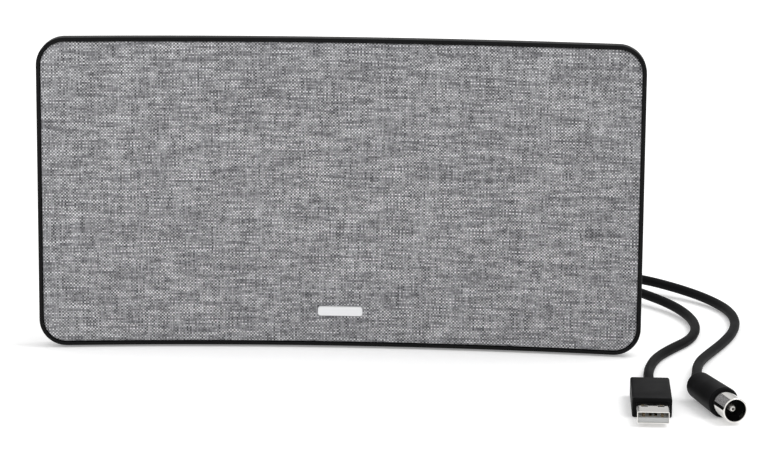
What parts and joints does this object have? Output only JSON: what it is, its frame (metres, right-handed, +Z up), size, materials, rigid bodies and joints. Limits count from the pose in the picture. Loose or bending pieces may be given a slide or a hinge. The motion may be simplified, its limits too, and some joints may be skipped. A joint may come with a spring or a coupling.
{
  "type": "indoor tv antenna",
  "caption": "Upright curved panel aerial with a woven fabric front in a black moulded shell on a rear foot, with a coaxial cord and a USB supply cord.",
  "frame": {"origin": "middle of the base of the panel and its foot, on the surface that the feet stand on, cords left out", "axes": "+X to the right seen from the front, along the panel's width; +Y backwards, from the fabric front to the rear foot; +Z up"},
  "size_m": [0.2825, 0.2245, 0.1258],
  "materials": {
    "abs_black": "fine-grained moulded",
    "abs_plate": "plain moulded",
    "woven_polyester": "heathered plain weave",
    "brushed_aluminium": "brushed",
    "polyester_film": "satin film",
    "copper_foil": "etched foil",
    "board_laminate": "solder mask",
    "tinned_steel": "tinned",
    "ferrite": "ground",
    "chip_ceramic": "fired",
    "zinc_steel": "zinc plated",
    "foot_rubber": "moulded",
    "gland_pvc": "moulded",
    "cord_pvc": "extruded",
    "tie_pvc": "extruded",
    "plug_pvc": "moulded satin",
    "nickel_plate": "nickel plated",
    "tongue_plastic": "moulded",
    "gilded_contact": "gold flash",
    "wire_copper": "tinned copper wire"
  },
  "bodies": {
    "root": {"rear_shell": "abs_black", "front_carrier": "abs_plate", "fabric_cover": "woven_polyester", "badge": "brushed_aluminium", "antenna_film": "polyester_film", "radiators": "copper_foil", "stand_housing": "abs_black", "housing_screws": "zinc_steel", "front_feet": "foot_rubber", "rear_feet": "foot_rubber", "amplifier_board": "board_laminate", "board_screws": "zinc_steel", "shield_can": "tinned_steel", "balun_core": "ferrite", "board_components": "chip_ceramic", "feed_leads": "wire_copper", "coax_gland": "gland_pvc", "usb_gland": "gland_pvc", "coax_pigtail": "wire_copper", "usb_wires": "wire_copper", "coax_lead": "cord_pvc", "coax_coil": "cord_pvc", "coax_tie": "tie_pvc", "coax_run": "cord_pvc", "usb_lead": "cord_pvc", "usb_coil": "cord_pvc", "usb_tie": "tie_pvc", "usb_run": "cord_pvc", "iec_overmould": "plug_pvc", "iec_sleeve": "nickel_plate", "iec_insulator": "plug_pvc", "iec_pin": "nickel_plate", "usb_overmould": "plug_pvc", "usb_shell": "nickel_plate", "usb_tongue": "tongue_plastic", "usb_contacts": "gilded_contact"}
  },
  "joints": []
}
